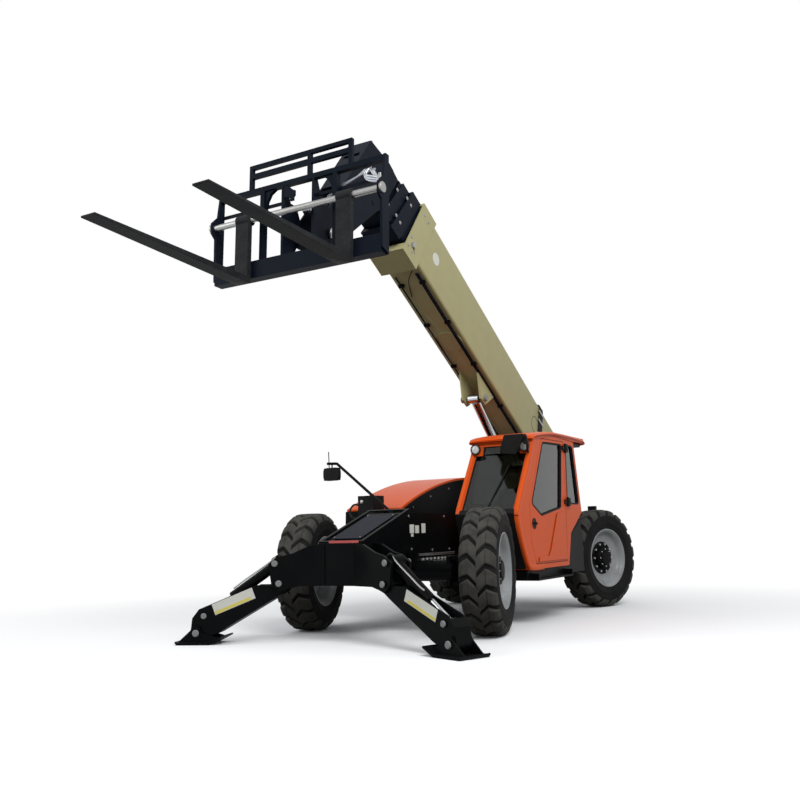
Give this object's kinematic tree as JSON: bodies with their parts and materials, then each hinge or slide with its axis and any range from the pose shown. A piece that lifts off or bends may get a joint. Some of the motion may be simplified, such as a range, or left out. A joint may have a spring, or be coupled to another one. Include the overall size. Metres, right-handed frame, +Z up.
{
  "type": "telehandler",
  "caption": "Wheeled telescopic handler with a side cab, a nested lifting boom, a tilting fork carriage and splayed front outriggers.",
  "frame": {"origin": "on the ground under the centre of the whole machine's box, with boom and outriggers as stored", "axes": "+X to the machine's left, the cab's side, -Y forward towards the fork tips, +Z up"},
  "size_m": [3.361, 8.596, 5.1958],
  "materials": {
    "orange_paint": "satin orange paint, a little dusty",
    "beige_paint": "satin beige paint",
    "navy_paint": "satin blue-black paint, greased on the slide faces",
    "black_paint": "satin black chassis paint with dust",
    "fork_steel": "dark grey paint, worn at the blades",
    "rim_paint": "silver paint, dusty",
    "tyre": "grey-black tyre rubber with dry dust",
    "tinted_glass": "green tinted safety glass",
    "seat_fabric": "dark woven cloth",
    "black_plastic": "grained black plastic",
    "lamp_lens": "clear lens over a bright bowl",
    "chrome_rod": "polished chrome",
    "engine_iron": "dark painted casting"
  },
  "bodies": {
    "chassis": {"frame": "black_paint", "outrigger_frame": "black_paint", "front_axle": "black_paint", "rear_axle": "black_paint", "engine_block": "engine_iron", "engine_cover": "black_paint", "side_tank": "black_paint", "cab_shell": "orange_paint", "cab_glass": "tinted_glass", "seat": "seat_fabric", "steering_console": "black_plastic", "counterweight": "black_paint", "lamps": "lamp_lens", "mirror_right": "black_plastic", "air_box": "black_plastic"},
    "cab_door": {"door": "orange_paint", "door_glass": "tinted_glass"},
    "hood": {"engine_hood": "orange_paint"},
    "boom_first": {"boom_base": "beige_paint"},
    "boom_second": {"boom_section_2": "navy_paint"},
    "boom_third": {"boom_section_3": "navy_paint"},
    "boom_fourth": {"boom_head": "navy_paint"},
    "fork_carriage": {"carriage": "navy_paint"},
    "left_fork": {"fork_left": "fork_steel"},
    "right_fork": {"fork_right": "fork_steel"},
    "lift_cylinder": {"lift_barrel": "black_paint"},
    "lift_piston": {"lift_rod": "chrome_rod"},
    "tilt_cylinder": {"tilt_barrel": "black_paint"},
    "tilt_piston": {"tilt_rod": "chrome_rod"},
    "knuckle_front_left": {"knuckle_front_left": "black_paint"},
    "wheel_front_left": {"rim_front_left": "rim_paint", "tyre_front_left": "tyre"},
    "knuckle_front_right": {"knuckle_front_right": "black_paint"},
    "wheel_front_right": {"rim_front_right": "rim_paint", "tyre_front_right": "tyre"},
    "knuckle_rear_left": {"knuckle_rear_left": "black_paint"},
    "wheel_rear_left": {"rim_rear_left": "rim_paint", "tyre_rear_left": "tyre"},
    "knuckle_rear_right": {"knuckle_rear_right": "black_paint"},
    "wheel_rear_right": {"rim_rear_right": "rim_paint", "tyre_rear_right": "tyre"},
    "outrigger_leg_left_body": {"outrigger_leg_left": "black_paint"},
    "outrigger_pad_left_body": {"outrigger_pad_left": "black_paint"},
    "outrigger_barrel_left_body": {"outrigger_barrel_left": "black_paint"},
    "outrigger_rod_left_body": {"outrigger_rod_left": "chrome_rod"},
    "outrigger_leg_right_body": {"outrigger_leg_right": "black_paint"},
    "outrigger_pad_right_body": {"outrigger_pad_right": "black_paint"},
    "outrigger_barrel_right_body": {"outrigger_barrel_right": "black_paint"},
    "outrigger_rod_right_body": {"outrigger_rod_right": "chrome_rod"}
  },
  "joints": [
    {"name": "boom_lift", "type": "hinge", "parent": "chassis", "child": "boom_first", "pos_m": [0, 3.89796, 2.05], "axis": [-1, 0, 0], "range_deg": [-31.8, 39.6]},
    {"name": "boom_extend", "type": "slide", "parent": "boom_first", "child": "boom_second", "axis": [0, -0.8625, 0.506], "range_m": [0, 3.25]},
    {"name": "boom_extend_third", "type": "slide", "parent": "boom_second", "child": "boom_third", "axis": [0, -0.8625, 0.506], "range_m": [0, 3.25]},
    {"name": "boom_extend_fourth", "type": "slide", "parent": "boom_third", "child": "boom_fourth", "axis": [0, -0.8625, 0.506], "range_m": [0, 3.25]},
    {"name": "carriage_tilt", "type": "hinge", "parent": "boom_fourth", "child": "fork_carriage", "pos_m": [0, -2.05354, 3.90117], "axis": [1, 0, 0], "range_deg": [-42, 80]},
    {"name": "fork_left_slide", "type": "slide", "parent": "fork_carriage", "child": "left_fork", "axis": [1, 0, 0], "range_m": [-0.4, 0.25]},
    {"name": "fork_right_slide", "type": "slide", "parent": "fork_carriage", "child": "right_fork", "axis": [1, 0, 0], "range_m": [-0.25, 0.4]},
    {"name": "lift_cylinder_swing", "type": "hinge", "parent": "chassis", "child": "lift_cylinder", "pos_m": [0, 3.44796, 0.95], "axis": [-1, 0, 0], "range_deg": [-28, 33.5]},
    {"name": "lift_cylinder_stroke", "type": "slide", "parent": "lift_cylinder", "child": "lift_piston", "axis": [0, -0.7483, 0.6634], "range_m": [-0.73, 0.875]},
    {"name": "tilt_cylinder_swing", "type": "hinge", "parent": "boom_fourth", "child": "tilt_cylinder", "pos_m": [0, -1.17708, 4.50578], "axis": [-1, 0, 0], "range_deg": [-5.5, 3.2]},
    {"name": "tilt_cylinder_stroke", "type": "slide", "parent": "tilt_cylinder", "child": "tilt_piston", "axis": [0, -0.9439, -0.3301], "range_m": [-0.18, 0.335]},
    {"name": "steer_front_left", "type": "hinge", "parent": "chassis", "child": "knuckle_front_left", "pos_m": [0.8615, -0.65204, 0.635], "axis": [0, 0, 1], "range_deg": [-51.6, 24.4]},
    {"name": "spin_front_left", "type": "hinge", "parent": "knuckle_front_left", "child": "wheel_front_left", "pos_m": [1.05586, -0.60488, 0.635], "axis": [0.9718, 0.2358, 0], "continuous": true},
    {"name": "steer_front_right", "type": "hinge", "parent": "chassis", "child": "knuckle_front_right", "pos_m": [-0.8615, -0.65204, 0.635], "axis": [0, 0, 1], "range_deg": [-51.6, 24.4]},
    {"name": "spin_front_right", "type": "hinge", "parent": "knuckle_front_right", "child": "wheel_front_right", "pos_m": [-1.05586, -0.69921, 0.635], "axis": [0.9718, 0.2358, 0], "continuous": true},
    {"name": "steer_rear_left", "type": "hinge", "parent": "chassis", "child": "knuckle_rear_left", "pos_m": [0.8615, 2.94296, 0.635], "axis": [0, 0, 1], "range_deg": [-20.1, 55.9]},
    {"name": "spin_rear_left", "type": "hinge", "parent": "knuckle_rear_left", "child": "wheel_rear_left", "pos_m": [1.05182, 2.88149, 0.635], "axis": [0.9516, -0.3074, 0], "continuous": true},
    {"name": "steer_rear_right", "type": "hinge", "parent": "chassis", "child": "knuckle_rear_right", "pos_m": [-0.8615, 2.94296, 0.635], "axis": [0, 0, 1], "range_deg": [-20.1, 55.9]},
    {"name": "spin_rear_right", "type": "hinge", "parent": "knuckle_rear_right", "child": "wheel_rear_right", "pos_m": [-1.05182, 3.00443, 0.635], "axis": [0.9516, -0.3074, 0], "continuous": true},
    {"name": "outrigger_left", "type": "hinge", "parent": "chassis", "child": "outrigger_leg_left_body", "pos_m": [0.63936, -1.7607, 0.574], "axis": [-0.3584, -0.9336, 0], "range_deg": [-6, 68]},
    {"name": "outrigger_pad_left", "type": "hinge", "parent": "outrigger_leg_left_body", "child": "outrigger_pad_left_body", "pos_m": [1.4329, -2.06532, 0.108], "axis": [-0.3584, -0.9336, 0], "range_deg": [-5, 45]},
    {"name": "outrigger_ram_left", "type": "hinge", "parent": "chassis", "child": "outrigger_barrel_left_body", "pos_m": [0.6767, -1.77504, 0.766], "axis": [-0.3584, -0.9336, 0], "range_deg": [-6.5, 70]},
    {"name": "outrigger_stroke_left", "type": "slide", "parent": "outrigger_barrel_left_body", "child": "outrigger_rod_left_body", "axis": [0.7743, -0.2972, -0.5586], "range_m": [-0.22, 0.022]},
    {"name": "outrigger_right", "type": "hinge", "parent": "chassis", "child": "outrigger_leg_right_body", "pos_m": [-0.63936, -1.7607, 0.574], "axis": [-0.3584, 0.9336, 0], "range_deg": [-6, 68]},
    {"name": "outrigger_pad_right", "type": "hinge", "parent": "outrigger_leg_right_body", "child": "outrigger_pad_right_body", "pos_m": [-1.4329, -2.06532, 0.108], "axis": [-0.3584, 0.9336, 0], "range_deg": [-5, 45]},
    {"name": "outrigger_ram_right", "type": "hinge", "parent": "chassis", "child": "outrigger_barrel_right_body", "pos_m": [-0.6767, -1.77504, 0.766], "axis": [-0.3584, 0.9336, 0], "range_deg": [-6.5, 70]},
    {"name": "outrigger_stroke_right", "type": "slide", "parent": "outrigger_barrel_right_body", "child": "outrigger_rod_right_body", "axis": [-0.7743, -0.2972, -0.5586], "range_m": [-0.22, 0.022]},
    {"name": "door_swing", "type": "hinge", "parent": "chassis", "child": "cab_door", "pos_m": [1.18, 1.48496, 1.3], "axis": [0, 0, 1], "range_deg": [0, 95]},
    {"name": "hood_swing", "type": "hinge", "parent": "chassis", "child": "hood", "pos_m": [-0.82, 2.21296, 1.33], "axis": [-1, 0, 0], "range_deg": [0, 55]}
  ],
  "couplings": [
    {"joint": "boom_extend_third", "follows": "boom_extend", "ratio": 1},
    {"joint": "boom_extend_fourth", "follows": "boom_extend", "ratio": 1},
    {"joint": "lift_cylinder_swing", "follows": "boom_lift", "ratio": 0.83249},
    {"joint": "lift_cylinder_stroke", "follows": "boom_lift", "m_per_rad": 1.257},
    {"joint": "tilt_cylinder_swing", "follows": "carriage_tilt", "ratio": -0.0604},
    {"joint": "tilt_cylinder_stroke", "follows": "carriage_tilt", "m_per_rad": 0.2345},
    {"joint": "steer_front_right", "follows": "steer_front_left", "ratio": 1},
    {"joint": "steer_rear_right", "follows": "steer_rear_left", "ratio": 1},
    {"joint": "outrigger_ram_left", "follows": "outrigger_left", "ratio": 1.0264},
    {"joint": "outrigger_stroke_left", "follows": "outrigger_left", "m_per_rad": -0.1833},
    {"joint": "outrigger_ram_right", "follows": "outrigger_right", "ratio": 1.0264},
    {"joint": "outrigger_stroke_right", "follows": "outrigger_right", "m_per_rad": -0.1833}
  ]
}
